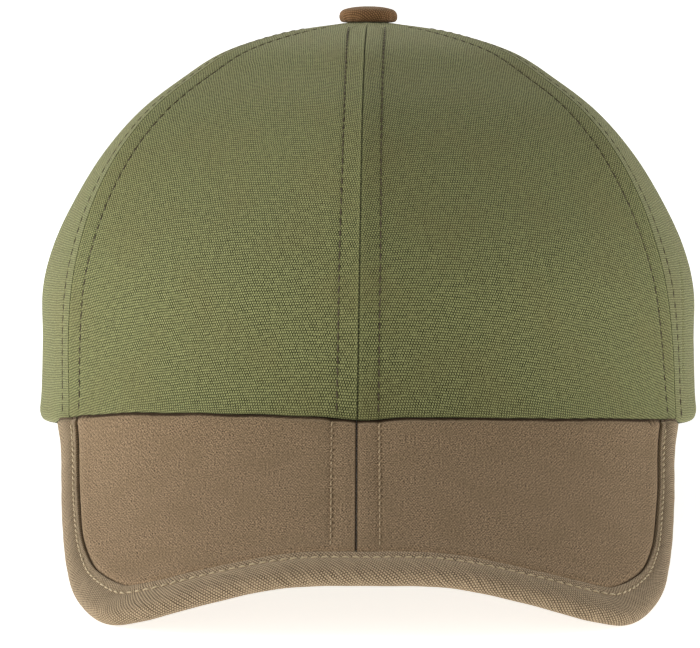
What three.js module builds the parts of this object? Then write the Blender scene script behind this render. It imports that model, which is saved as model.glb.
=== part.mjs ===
// A canvas cap: six crown panels, a peak in two halves with a bound edge, and a covered button.
// Millimetres. The crown and the peak are laid out in the frame of the worn cap: its origin is
// the middle of the hem, +X to the viewer's right, -Y to the front and +Z up. The last lines
// lean the whole cap back, so that it lies on the back of its hem and on the two lobes of its peak.

import * as THREE from "three";

const { degToRad, lerp, radToDeg, smoothstep } = THREE.MathUtils;

// Cloth and clearances
const SEAM_GAP = 0.3;
const SEAT_GAP = 0.65;
const PANEL_WALL = 1.6;
const HEM_WALL = 2.6;
const HEM_DEPTH = 18;
const PEAK_WALL = 2.0;
const BINDING_WALL = 1.0;
const BINDING_WIDTH = 9.7;
const BINDING_LEFT_WIDTH = 5.85;
const BINDING_RIGHT_WIDTH = 5.25;

// The crown's outside at heights over the hem: its half width, how far it reaches to the front
// and to the back, and how far its panels are pulled flat between their seams, from 0 to 1
const CROWN_ROWS = [
  { height: 0, side: 88.8, front: 98.8, back: 100.8, flat: 0.0 },
  { height: 6, side: 89.1, front: 98.9, back: 100.4, flat: 0.22 },
  { height: 22, side: 90.2, front: 99.4, back: 101.0, flat: 0.42 },
  { height: 36, side: 90.0, front: 98.6, back: 99.6, flat: 0.4 },
  { height: 48, side: 88.0, front: 95.8, back: 94.8, flat: 0.54 },
  { height: 60, side: 84.0, front: 91.2, back: 87.7, flat: 0.79 },
  { height: 72, side: 77.1, front: 84.0, back: 77.5, flat: 0.94 },
  { height: 83, side: 67.1, front: 72.5, back: 62.5, flat: 1.0 },
  { height: 92, side: 54.5, front: 57.5, back: 47.0, flat: 1.0 },
  { height: 99, side: 42.2, front: 43.2, back: 34.0, flat: 1.0 },
  { height: 104, side: 25.2, front: 24.0, back: 19.0, flat: 1.0 },
  { height: 106.4, side: 9.2, front: 8.5, back: 7.0, flat: 1.0 },
  { height: 107.0, side: 3.2, front: 3.1, back: 3.0, flat: 0.0 },
];
const ROW_STEPS = CROWN_ROWS.length - 1;
const LEVEL_PER_MM = 1 / ROW_STEPS / CROWN_ROWS[1].height;

// Seams, as angles in degrees from the middle of the front, to the viewer's right.
// A seam runs from its angle at the hem to its upper angle, which it keeps above the bend.
const SEAM_BEND_HEIGHT = 70;
const SEAM_BEND_EASE = 1.5;
const CENTRE_FRONT = { hem: -1.7, upper: -1.2 };
const FRONT_RIGHT = { hem: 64.2, upper: 55.9 };
const BACK_RIGHT = { hem: 121, upper: 121 };
const CENTRE_BACK = { hem: 180, upper: 180 };
const BACK_LEFT = { hem: 239, upper: 239 };
const FRONT_LEFT = { hem: 299.7, upper: 303.2 };
const FULL_TURN = 360;

// Each panel lies between two seams; slack is how much of its radius pulling it flat takes off
const PANELS = [
  { name: "front_right_panel", from: CENTRE_FRONT, to: FRONT_RIGHT, slack: 0.088 },
  { name: "side_right_panel", from: FRONT_RIGHT, to: BACK_RIGHT, slack: 0.088 },
  { name: "back_right_panel", from: BACK_RIGHT, to: CENTRE_BACK, slack: 0.04 },
  { name: "back_left_panel", from: CENTRE_BACK, to: BACK_LEFT, slack: 0.04 },
  { name: "side_left_panel", from: BACK_LEFT, to: FRONT_LEFT, slack: 0.09 },
  { name: "front_left_panel", from: FRONT_LEFT, to: turned(CENTRE_FRONT), slack: 0.1 },
];
const PANEL_COLUMNS = 9;
const PANEL_LEVELS = 15;

// The hem rises over the peak in front, and waves a little, more on the viewer's left
const FRONT_RISE = 6.5;
const HEM_WAVE = [
  { across: -84, lift: 0.7 },
  { across: -79, lift: 2.1 },
  { across: -72, lift: 2.8 },
  { across: -60, lift: 3.1 },
  { across: -48, lift: 2.5 },
  { across: -30, lift: 1.7 },
  { across: -15, lift: 0.85 },
  { across: -1, lift: -0.25 },
  { across: 10, lift: 0.55 },
  { across: 30, lift: 0.75 },
  { across: 45, lift: 1.1 },
  { across: 62, lift: 1.75 },
  { across: 79, lift: 1.9 },
  { across: 84, lift: 0.75 },
];
const WAVE_REACH = 30;

// The waves end behind the widest place; these are cosines of the angle from the middle front
const WAVE_START = -0.05;
const WAVE_END = -0.35;

// Lying by itself, the cap leans back by this angle, and the middle of its back hem is pressed
// flat by its own weight
const REST_LEAN = degToRad(9.8);
const PRESSED_HALF_ANGLE = 24;
const PRESSED_FADE_ANGLE = 50;

// The peak is cut flat and bent along straight lines that run down to the front at this slope
const PEAK_SLOPE = degToRad(32);
const PEAK_TUCK = 2.2;
const SLIT_ACROSS = -2.8;
const SLIT_HALF_GAP = 0.2;
const TIP_ACROSS = 79.5;
const TIP_FADE = 5;
const PEAK_EDGE_INSET = 2.0;
const PEAK_END = 2.0;
const PEAK_COLUMNS = 24;
const PEAK_ROWS = 7;

// Right half of the peak's outline on the flat cut: across from the middle, and out from the
// line through the crown's centre
const PEAK_OUTLINE = [
  { across: 0, out: 145.1 },
  { across: 20, out: 143.9 },
  { across: 42, out: 144.0 },
  { across: 56.5, out: 142.2 },
  { across: 67.4, out: 136.8 },
  { across: 77.1, out: 120.6 },
  { across: 81.6, out: 103.2 },
  { across: 85.1, out: 78.3 },
  { across: 87.85, out: 50.0 },
  { across: 92.0, out: 31.0 },
];

// Binding: how its fold is shared out between its two flat sides and its round edge, how far
// from the outline's ends it stops against the crown, there and for each millimetre inward, and
// between which lengths from its ends it widens towards the front. It is narrower at the sides.
const FOLD_FLAT_SHARE = 0.25;
const BINDING_END = 4.8;
const BINDING_END_SLANT = 1.45;
const BINDING_WIDENS_FROM = 40;
const BINDING_WIDENS_TO = 112;
const BINDING_COLUMNS = 44;
const BINDING_ROWS = 8;

// Button: a shallow covered dome on a shank
const BUTTON_RADIUS = 7.75;
const BUTTON_TOP = 111.2;
const BUTTON_SEAT = 107.4;
const BUTTON_DROOP = 0.5;
const BUTTON_SHANK_RADIUS = 1.4;
const BUTTON_SHANK_LENGTH = 4.0;
const BUTTON_RIM = 1.7;
const BUTTON_DOME_EASE = 0.6;
const BUTTON_SIDES = 24;
const BUTTON_STEPS = 5;

const SAGE_CANVAS = { color: 0x87905f, roughness: 0.95, metalness: 0 };
const TAUPE_CANVAS = { color: 0x857057, roughness: 0.95, metalness: 0 };
const BROWN_CANVAS = { color: 0x6f4a31, roughness: 0.9, metalness: 0 };

function turned(seam) {
  return { hem: seam.hem + FULL_TURN, upper: seam.upper + FULL_TURN };
}

// A smooth curve through four values, between the second and the third
function throughValues(before, start, end, after, share) {
  const slopeIn = (end - before) / 2;
  const slopeOut = (after - start) / 2;
  const square = share * share;
  const cube = square * share;
  const fromStart = (2 * cube - 3 * square + 1) * start + (cube - 2 * square + share) * slopeIn;
  const fromEnd = (3 * square - 2 * cube) * end + (cube - square) * slopeOut;
  return fromStart + fromEnd;
}

// The crown's table between its rows, for a level from 0 at the hem to 1 at the top
function crownRow(level) {
  const place = Math.min(Math.max(level, 0), 1) * ROW_STEPS;
  const index = Math.min(Math.floor(place), ROW_STEPS - 1);
  const rowAt = (step) => CROWN_ROWS[Math.min(Math.max(index + step, 0), ROW_STEPS)];
  const column = (key) => {
    return throughValues(rowAt(-1)[key], rowAt(0)[key], rowAt(1)[key], rowAt(2)[key], place - index);
  };
  return {
    height: column("height"),
    side: column("side"),
    front: column("front"),
    back: column("back"),
    flat: column("flat"),
  };
}

function seamAngle(seam, height) {
  const below = Math.max(0, 1 - height / SEAM_BEND_HEIGHT);
  return lerp(seam.upper, seam.hem, below ** SEAM_BEND_EASE);
}

function hemWave(across) {
  const last = HEM_WAVE.length - 1;
  const place = Math.min(Math.max(across, HEM_WAVE[0].across), HEM_WAVE[last].across);
  const index = HEM_WAVE.findIndex((point, i) => i < last && place <= HEM_WAVE[i + 1].across);
  const start = HEM_WAVE[index];
  const end = HEM_WAVE[index + 1];
  return lerp(start.lift, end.lift, smoothstep(place, start.across, end.across));
}

// The seam where the peak meets the crown: its depth and height for a place across
const HEM = CROWN_ROWS[0];

function hemDepth(across) {
  return -HEM.front * Math.sqrt(Math.max(0, 1 - (across / HEM.side) ** 2));
}

function hemHeight(across) {
  return FRONT_RISE * Math.max(0, 1 - (across / HEM.side) ** 2);
}

// Height of the peak's top face under the crown's wall, followed a little past its tucked edge
const TOP_REACH = 3 * PEAK_TUCK;

function peakTopHeight(x, y) {
  const inward = Math.min(y - hemDepth(x), TOP_REACH);
  return hemHeight(x) + hemWave(x) + inward * Math.tan(PEAK_SLOPE);
}

// Height of the surface that the cap rests on, in the worn frame
function restHeight(y) {
  return (y - HEM.back) * Math.tan(REST_LEAN);
}

// Nothing at both seams of a panel, and 1 halfway between them
function bow(share) {
  return 4 * share * (1 - share);
}

// A point of the crown's outside; share runs across the panel from one seam to the other
function crownOutside(panel, share, level) {
  const row = crownRow(level);
  const angleDeg = lerp(seamAngle(panel.from, row.height), seamAngle(panel.to, row.height), share);
  const angle = degToRad(angleDeg);
  const radius = 1 - panel.slack * row.flat * bow(share);
  const facing = Math.cos(angle);
  const depth = facing > 0 ? row.front : row.back;
  const x = row.side * Math.sin(angle) * radius;
  const y = -depth * facing * radius;
  const fade = (1 - level) ** 2;
  const before = smoothstep(facing, WAVE_END, WAVE_START);
  const wave = hemWave(x) * Math.max(0, 1 - row.height / WAVE_REACH) ** 2 * before;
  const z = row.height + FRONT_RISE * Math.max(facing, 0) ** 2 * fade + wave;
  return new THREE.Vector3(x, y, z);
}

// The way out of the crown, the same for both panels along their seam
const NORMAL_STEP = 0.002;

function crownNormal(panel, share, level) {
  const round = { ...panel, slack: 0 };
  const step = NORMAL_STEP;
  const low = Math.min(level, 1 - step);
  const across = crownOutside(round, share + step, low).sub(crownOutside(round, share - step, low));
  const up = crownOutside(round, share, low + step).sub(crownOutside(round, share, low));
  return across.cross(up).normalize();
}

// Height of the hem's lower edge: on the peak in front, plain at the sides, pressed flat behind
function hemEdgeHeight(point) {
  if (point.y > 0) {
    const fromBack = radToDeg(Math.abs(Math.atan2(point.x, point.y)));
    const pressed = 1 - smoothstep(fromBack, PRESSED_HALF_ANGLE, PRESSED_FADE_ANGLE);
    return lerp(point.z, restHeight(point.y), pressed);
  }
  const tucked = 1 - smoothstep(Math.abs(point.x), TIP_ACROSS, TIP_ACROSS + TIP_FADE);
  const seat = peakTopHeight(point.x, point.y) + SEAT_GAP;
  return lerp(point.z, Math.max(point.z, seat), tucked);
}

function crownWall(level) {
  const height = crownRow(level).height;
  return height < HEM_DEPTH ? HEM_WALL : PANEL_WALL;
}

// A panel's wall: its grid of points outside, and the same grid pushed in by the wall
function crownPoint(panel, share, level, inward) {
  const row = crownRow(level);
  const width = crownOutside(panel, 1, level).distanceTo(crownOutside(panel, 0, level));
  const trim = SEAM_GAP / 2 / Math.max(width, row.side / 2);
  const inside = lerp(trim, 1 - trim, share);
  const wall = inward ? crownWall(level) : 0;
  const pushed = (at) => {
    return crownOutside(panel, inside, at).addScaledVector(crownNormal(panel, inside, at), -wall);
  };
  if (level > 0) {
    return pushed(level);
  }
  const height = hemEdgeHeight(pushed(0));
  const climb = Math.max(0, height - pushed(0).z) * LEVEL_PER_MM;
  return pushed(climb).setZ(height);
}

// A closed wall between two sheets of points. Each sheet is a function of a share across and a
// share up, and a viewer of the outer one sees across run to the right.
function wallGeometry(columns, rows, outer, inner) {
  const positions = [];
  const triangles = [];
  for (const sheet of [outer, inner]) {
    for (let row = 0; row <= rows; row += 1) {
      for (let column = 0; column <= columns; column += 1) {
        const point = sheet(column / columns, row / rows);
        positions.push(point.x, point.y, point.z);
      }
    }
  }
  const sheetSize = (columns + 1) * (rows + 1);
  const out = (column, row) => row * (columns + 1) + column;
  const inn = (column, row) => sheetSize + out(column, row);
  const quad = (a, b, c, d) => triangles.push(a, b, c, a, c, d);
  for (let row = 0; row < rows; row += 1) {
    for (let column = 0; column < columns; column += 1) {
      const right = column + 1;
      const above = row + 1;
      quad(out(column, row), out(right, row), out(right, above), out(column, above));
      quad(inn(column, row), inn(column, above), inn(right, above), inn(right, row));
    }
  }
  for (let column = 0; column < columns; column += 1) {
    const right = column + 1;
    quad(inn(column, 0), inn(right, 0), out(right, 0), out(column, 0));
    quad(out(column, rows), out(right, rows), inn(right, rows), inn(column, rows));
  }
  for (let row = 0; row < rows; row += 1) {
    const above = row + 1;
    quad(out(0, row), out(0, above), inn(0, above), inn(0, row));
    quad(inn(columns, row), inn(columns, above), out(columns, above), out(columns, row));
  }
  const geometry = new THREE.BufferGeometry();
  geometry.setAttribute("position", new THREE.Float32BufferAttribute(positions, 3));
  geometry.setIndex(triangles);
  geometry.computeVertexNormals();
  return geometry;
}

function namedMesh(name, geometry, finish) {
  const mesh = new THREE.Mesh(geometry, new THREE.MeshStandardMaterial(finish));
  mesh.name = name;
  return mesh;
}

function makePanel(panel) {
  const outer = (share, level) => crownPoint(panel, share, level, false);
  const inner = (share, level) => crownPoint(panel, share, level, true);
  const geometry = wallGeometry(PANEL_COLUMNS, PANEL_LEVELS, outer, inner);
  return namedMesh(panel.name, geometry, SAGE_CANVAS);
}

// The bend of the peak, seen along its straight lines: a curve over the place across
function bendHeight(across) {
  return -Math.sin(PEAK_SLOPE) * hemDepth(across) + Math.cos(PEAK_SLOPE) * hemHeight(across);
}

const SLOPE_STEP = 0.01;

function bendSlope(across) {
  const rise = bendHeight(across + SLOPE_STEP) - bendHeight(across - SLOPE_STEP);
  return rise / (2 * SLOPE_STEP);
}

// Distance along the bend for each place across, from the middle to the side
const BEND_STEP = 0.25;
const BEND_LENGTHS = [0];
for (let across = BEND_STEP; across < HEM.side - BEND_STEP; across += BEND_STEP) {
  const rise = bendHeight(across) - bendHeight(across - BEND_STEP);
  BEND_LENGTHS.push(BEND_LENGTHS[BEND_LENGTHS.length - 1] + Math.hypot(BEND_STEP, rise));
}

function flatAcross(across) {
  const place = Math.abs(across) / BEND_STEP;
  const index = Math.min(Math.floor(place), BEND_LENGTHS.length - 2);
  const length = lerp(BEND_LENGTHS[index], BEND_LENGTHS[index + 1], place - index);
  return Math.sign(across) * length;
}

function bentAcross(flat) {
  const length = Math.abs(flat);
  const found = BEND_LENGTHS.findIndex((value) => value > length);
  const index = Math.max(1, found);
  const before = BEND_LENGTHS[index - 1];
  const share = (length - before) / (BEND_LENGTHS[index] - before);
  return Math.sign(flat) * (index - 1 + share) * BEND_STEP;
}

// How far out the crown's seam lies on the flat cut
function seamOut(across) {
  return -hemDepth(across) * Math.cos(PEAK_SLOPE) - hemHeight(across) * Math.sin(PEAK_SLOPE);
}

// Bends a point of the flat cut into its place on the cap; depth is its height over the top face
function bendPeak(flat, out, depth) {
  const x = bentAcross(flat);
  const down = out - seamOut(x);
  const slope = bendSlope(x);
  const scale = depth / Math.hypot(1, slope);
  const wave = hemWave(x) * Math.max(0, 1 - Math.max(down, 0) / WAVE_REACH) ** 2;
  return new THREE.Vector3(
    x - slope * scale,
    hemDepth(x) - down * Math.cos(PEAK_SLOPE) - scale * Math.sin(PEAK_SLOPE),
    hemHeight(x) + wave - down * Math.sin(PEAK_SLOPE) + scale * Math.cos(PEAK_SLOPE),
  );
}

// The whole outline on the flat cut, from the left tip to the right one
const OUTLINE_DIVISIONS = 600;
const outlinePoints = [];
for (const point of [...PEAK_OUTLINE].reverse()) {
  outlinePoints.push(new THREE.Vector3(-point.across, point.out, 0));
}
for (const point of PEAK_OUTLINE.slice(1)) {
  outlinePoints.push(new THREE.Vector3(point.across, point.out, 0));
}
const outline = new THREE.CatmullRomCurve3(outlinePoints, false, "centripetal");
outline.arcLengthDivisions = OUTLINE_DIVISIONS;

function outlineInward(share) {
  const tangent = outline.getTangentAt(share);
  return new THREE.Vector3(tangent.y, -tangent.x, 0);
}

// Share of the outline's length at which it crosses the slit, found by halving
const HALVINGS = 40;

function slitShare() {
  let low = 0;
  let high = 1;
  for (let halving = 0; halving < HALVINGS; halving += 1) {
    const middle = (low + high) / 2;
    if (outline.getPointAt(middle).x < SLIT_ACROSS) {
      low = middle;
    } else {
      high = middle;
    }
  }
  return (low + high) / 2;
}

// One half of the peak: columns run from the slit to the tip, rows from the outline to the hem
function makePeakHalf(name, side) {
  const slit = slitShare();
  const tipShare = PEAK_END / outline.getLength();
  const endShare = side > 0 ? 1 - tipShare : tipShare;
  const slitX = SLIT_ACROSS + side * SLIT_HALF_GAP;
  const slitAngle = Math.asin(slitX / HEM.side);
  const tipAngle = Math.asin((side * TIP_ACROSS) / HEM.side);
  const sheet = (depth) => (share, toHem) => {
    const along = side > 0 ? share : 1 - share;
    const at = lerp(slit, endShare, along);
    const edge = outline.getPointAt(at).addScaledVector(outlineInward(at), PEAK_EDGE_INSET);
    const across = Math.sin(lerp(slitAngle, tipAngle, along)) * HEM.side;
    const seam = new THREE.Vector3(flatAcross(across), seamOut(across) - PEAK_TUCK, 0);
    if (along === 0) {
      edge.x = slitX;
      seam.x = slitX;
    }
    const flat = edge.lerp(seam, toHem);
    return bendPeak(flat.x, flat.y, depth);
  };
  const geometry = wallGeometry(PEAK_COLUMNS, PEAK_ROWS, sheet(0), sheet(-PEAK_WALL));
  return namedMesh(name, geometry, TAUPE_CANVAS);
}

// Width of the binding at a share of its own length, from the left end to the right one
function bindingWidth(along, length) {
  const fromEnd = Math.min(along, 1 - along) * length;
  const side = along < 1 / 2 ? BINDING_LEFT_WIDTH : BINDING_RIGHT_WIDTH;
  return lerp(side, BINDING_WIDTH, smoothstep(fromEnd, BINDING_WIDENS_FROM, BINDING_WIDENS_TO));
}

// The binding's fold: inward from the outline, and over the middle of the peak's thickness
function foldPoint(share, radius, width) {
  const centre = PEAK_WALL / 2 + SEAM_GAP + BINDING_WALL;
  const roundShare = (share - FOLD_FLAT_SHARE) / (1 - 2 * FOLD_FLAT_SHARE);
  if (roundShare <= 0) {
    return { inward: lerp(width, centre, share / FOLD_FLAT_SHARE), over: -radius };
  }
  if (roundShare >= 1) {
    return { inward: lerp(width, centre, (1 - share) / FOLD_FLAT_SHARE), over: radius };
  }
  const turn = Math.PI * roundShare;
  return { inward: centre - radius * Math.sin(turn), over: -radius * Math.cos(turn) };
}

function makeBinding() {
  const innerRadius = PEAK_WALL / 2 + SEAM_GAP;
  const length = outline.getLength();
  const sheet = (radius) => (along, around) => {
    const fold = foldPoint(around, radius, bindingWidth(along, length));
    const end = (BINDING_END + fold.inward * BINDING_END_SLANT) / length;
    const at = lerp(end, 1 - end, along);
    const flat = outline.getPointAt(at).addScaledVector(outlineInward(at), fold.inward);
    return bendPeak(flat.x, flat.y, fold.over - PEAK_WALL / 2);
  };
  const outer = sheet(innerRadius + BINDING_WALL);
  const geometry = wallGeometry(BINDING_COLUMNS, BINDING_ROWS, outer, sheet(innerRadius));
  return namedMesh("peak_binding", geometry, TAUPE_CANVAS);
}

// The button's section: up the shank, out under the dome, round the rim and over to the middle
function makeButton() {
  const rimHeight = BUTTON_SEAT - BUTTON_DROOP;
  const section = [
    new THREE.Vector2(0, BUTTON_SEAT - BUTTON_SHANK_LENGTH),
    new THREE.Vector2(BUTTON_SHANK_RADIUS, BUTTON_SEAT - BUTTON_SHANK_LENGTH),
    new THREE.Vector2(BUTTON_SHANK_RADIUS, BUTTON_SEAT),
    new THREE.Vector2(BUTTON_RADIUS - BUTTON_RIM / 2, rimHeight),
    new THREE.Vector2(BUTTON_RADIUS, rimHeight + BUTTON_RIM / 2),
  ];
  for (let step = 0; step <= BUTTON_STEPS; step += 1) {
    const turn = (Math.PI / 2) * (step / BUTTON_STEPS);
    const radius = BUTTON_RADIUS * Math.cos(turn) ** BUTTON_DOME_EASE;
    const height = lerp(rimHeight + BUTTON_RIM, BUTTON_TOP, Math.sin(turn));
    section.push(new THREE.Vector2(step === BUTTON_STEPS ? 0 : radius, height));
  }
  const geometry = new THREE.LatheGeometry(section, BUTTON_SIDES).rotateX(Math.PI / 2);
  return namedMesh("top_button", geometry, BROWN_CANVAS);
}

// The cap leans back, and stands with the middle of its box over the origin
const cap = new THREE.Group();
for (const panel of PANELS) {
  cap.add(makePanel(panel));
}
cap.add(makePeakHalf("peak_left", -1));
cap.add(makePeakHalf("peak_right", 1));
cap.add(makeBinding());
cap.add(makeButton());
cap.rotation.x = -REST_LEAN;

const group = new THREE.Group();
group.add(cap);
const box = new THREE.Box3().setFromObject(group, true);
const middle = box.getCenter(new THREE.Vector3());
cap.position.set(-middle.x, -middle.y, -box.min.z);

export default group;
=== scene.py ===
# %% [markdown]
# # A canvas cap
#
# This lesson dresses a six-panel canvas cap: a sage green crown, a taupe peak in two halves, a
# bias-cut binding round the peak's edge and a covered button on top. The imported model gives
# plain solids in their right places. Each one is replaced here by cloth with its turned edges,
# seams and stitches, because a cap is recognised by how it was sewn.

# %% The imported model
import math

import bpy
import numpy as np
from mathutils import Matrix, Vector


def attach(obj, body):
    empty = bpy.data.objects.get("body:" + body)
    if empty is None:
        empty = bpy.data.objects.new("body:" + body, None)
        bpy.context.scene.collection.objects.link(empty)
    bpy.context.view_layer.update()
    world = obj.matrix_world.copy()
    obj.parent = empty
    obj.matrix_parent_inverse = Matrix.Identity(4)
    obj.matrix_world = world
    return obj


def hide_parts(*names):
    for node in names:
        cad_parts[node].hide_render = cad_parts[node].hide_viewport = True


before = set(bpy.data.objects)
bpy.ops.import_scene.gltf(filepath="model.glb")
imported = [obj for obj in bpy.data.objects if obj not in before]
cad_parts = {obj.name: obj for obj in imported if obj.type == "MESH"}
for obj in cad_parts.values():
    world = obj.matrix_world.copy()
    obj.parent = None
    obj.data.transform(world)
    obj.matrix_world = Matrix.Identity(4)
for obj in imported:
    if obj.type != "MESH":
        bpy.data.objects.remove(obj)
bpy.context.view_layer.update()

# %% [markdown]
# ## From the worn cap to the resting one
#
# Every shape below is worked out in millimetres on the cap as it is worn: the origin is in the
# middle of the hem, +X to the viewer's right, -Y to the front and +Z up. A cap that is laid
# down leans back, so one function turns and moves each finished mesh. That keeps the formulas
# simple, and the same as those that made the solids.

# %% Worn frame to resting frame
MM = 0.001
REST_LEAN = math.radians(9.8)
REST_SHIFT = np.array([-0.047722, 25.913171, 17.176567])


def at_rest(points):
    """Points of the worn cap in mm, as points of the resting cap in metres."""
    x, y, z = np.moveaxis(np.asarray(points, float), -1, 0)
    cos, sin = math.cos(REST_LEAN), math.sin(REST_LEAN)
    leaned = np.stack([x, y * cos + z * sin, z * cos - y * sin], axis=-1)
    return (leaned + REST_SHIFT) * MM


print("the hem's middle comes to", [round(float(value), 4) for value in at_rest((0, 0, 0))])

# %% [markdown]
# ## Camera
#
# The photograph was taken from the front with a long lens, a little above the hem. The height
# of the camera follows from how much of the peak's top it sees. A long lens means little
# perspective, so the camera stands 1.3 m away with a narrow view.

# %% Camera
CAMERA_DISTANCE = 1300.0
CAMERA_RISE = math.radians(3.5)
CAMERA_AIM = (-4.82, 1.603, 26.211)
CAMERA_LENS = 249.46

camera = bpy.data.objects.new("camera", bpy.data.cameras.new("camera"))
camera.data.lens = CAMERA_LENS
stand = (0, -CAMERA_DISTANCE * math.cos(CAMERA_RISE), CAMERA_DISTANCE * math.sin(CAMERA_RISE))
camera.location = Vector(at_rest(stand))
sight = Vector(at_rest(CAMERA_AIM)) - camera.location
camera.rotation_euler = sight.to_track_quat("-Z", "Y").to_euler()
bpy.context.scene.collection.objects.link(camera)
bpy.context.scene.camera = camera
print("camera at", [round(value, 3) for value in camera.location])

# %% [markdown]
# ## Floor and light
#
# Clothing is photographed on a white sweep, with large soft lamps at both sides and a darker
# room behind the camera. That makes the sides of a round thing lighter than its middle, which
# shows its shape. The sky here is white behind and at the sides, and dimmer overhead and where
# the camera stands. The table is a light table, so it stays white and its shadows are pale. The
# lamp on the left is the stronger one, as in the picture.

# %% Colours and nodes


def linear(hex_colour):
    """An sRGB hex colour as the linear one that a shader takes."""
    channels = [int(hex_colour[start : start + 2], 16) / 255 for start in (1, 3, 5)]
    curve = [c / 12.92 if c <= 0.04045 else ((c + 0.055) / 1.055) ** 2.4 for c in channels]
    return (*curve, 1.0)


def add_node(tree, kind, inputs=(), **settings):
    """A shader node with its settings.

    Its inputs come in the order of its sockets, or as a dict by socket. Each is a value, another
    node's output, or another node, whose first output is then meant.
    """
    node = tree.nodes.new("ShaderNode" + kind)
    for name, value in settings.items():
        setattr(node, name, value)
    by_socket = inputs if isinstance(inputs, dict) else dict(enumerate(inputs))
    for socket, value in by_socket.items():
        if isinstance(value, bpy.types.Node):
            value = value.outputs[0]
        if isinstance(value, bpy.types.NodeSocket):
            tree.links.new(value, node.inputs[socket])
        else:
            node.inputs[socket].default_value = value
    return node


def new_material(name):
    """An empty material, its node tree and its shader."""
    material = bpy.data.materials.new(name)
    material.use_nodes = True
    return material, material.node_tree, material.node_tree.nodes["Principled BSDF"]


# For Map Range nodes, which take a value, where it starts and ends, and what these become
SMOOTH = {"interpolation_type": "SMOOTHSTEP"}
# For Mix nodes, whose sockets 6 and 7 are then their two colours, and output 2 the mixed one
COLOUR = {"data_type": "RGBA"}

# %% Floor, sky and lamps
FLOOR_HALF = 6.0
SKY_BEHIND = 1.15
SKY_IN_FRONT = 0.3
SKY_OVERHEAD_SHARE = 0.12
# Where the sky changes: the depth and the height of the way in which one looks, from -1 to 1
SKY_SIDE_ZONE = (-0.75, -0.05)
SKY_TOP_ZONE = (0.12, 0.75)
TABLE_GLOW = 0.75
LAMP_AIM = Vector((0, 0, 0.05))

scene = bpy.context.scene
scene.view_settings.view_transform = "Standard"
world = bpy.data.worlds.new("studio")
world.use_nodes = True
studio = world.node_tree
direction = add_node(studio, "SeparateXYZ", [add_node(studio, "TexCoord").outputs["Generated"]])
back, height = direction.outputs[1:]
behind = add_node(studio, "MapRange", [back, *SKY_SIDE_ZONE, SKY_IN_FRONT, SKY_BEHIND], **SMOOTH)
overhead = add_node(studio, "MapRange", [height, *SKY_TOP_ZONE, 1.0, SKY_OVERHEAD_SHARE], **SMOOTH)
glow = add_node(studio, "Math", [behind, overhead], operation="MULTIPLY")
studio.nodes["Background"].inputs["Color"].default_value = linear("#fdfdfb")
studio.links.new(glow.outputs[0], studio.nodes["Background"].inputs["Strength"])
scene.world = world

floor_mesh = bpy.data.meshes.new("floor")
corners = [(-1, -1), (1, -1), (1, 1), (-1, 1)]
floor_mesh.from_pydata([(x * FLOOR_HALF, y * FLOOR_HALF, 0) for x, y in corners], [], [(0, 1, 2, 3)])
floor = bpy.data.objects.new("floor", floor_mesh)
scene.collection.objects.link(floor)

# Matt white acrylic of a light table, lit from below
table, _, table_shader = new_material("matt white acrylic")
table_shader.inputs["Base Color"].default_value = linear("#f6f6f4")
table_shader.inputs["Roughness"].default_value = 0.9
table_shader.inputs["Emission Color"].default_value = linear("#fffffd")
table_shader.inputs["Emission Strength"].default_value = TABLE_GLOW
floor_mesh.materials.append(table)

LAMPS = [
    {"name": "left_box", "place": (-1.7, -0.2, 0.65), "size": 1.2, "watts": 26},
    {"name": "right_box", "place": (1.7, -0.2, 0.6), "size": 1.2, "watts": 11},
    {"name": "front_box", "place": (-0.3, -1.8, 0.7), "size": 1.4, "watts": 5.5},
]
for lamp in LAMPS:
    light = bpy.data.lights.new(lamp["name"], "AREA")
    light.size = lamp["size"]
    light.energy = lamp["watts"]
    holder = bpy.data.objects.new(lamp["name"], light)
    holder.location = lamp["place"]
    holder.rotation_euler = (LAMP_AIM - holder.location).to_track_quat("-Z", "Y").to_euler()
    scene.collection.objects.link(holder)
print("lamps", [lamp["name"] for lamp in LAMPS])

# %% [markdown]
# ## Canvas
#
# Cotton canvas is a plain weave of thick yarns: each weft yarn passes over one warp yarn and
# under the next. From a metre away the eye sees rows of small light dots, the tops of the
# yarns, over the shade between them. Two sine waves multiplied give that pattern of dots, and
# a third one gives the rows. The waves run over the cloth in millimetres, which each mesh
# carries as an attribute, so the threads keep their size and bend with the piece. Yarns are
# uneven, so noise that is stretched along the weft makes some of them thicker and lighter.

# %% Weave
# In the picture the dots are 0.65 mm apart along a row, and so are the rows
WARP_PITCH = 0.33
WEFT_PITCH = 0.66
print("weave: dots", 2 * WARP_PITCH, "mm apart and rows", WEFT_PITCH, "mm apart")


def wave(tree, length, pitch, offset=0.0):
    """A sine over a length in mm that goes through half a turn at each pitch."""
    turns = add_node(tree, "Math", [length, math.pi / pitch, offset], operation="MULTIPLY_ADD")
    return add_node(tree, "Math", [turns], operation="SINE")


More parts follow.
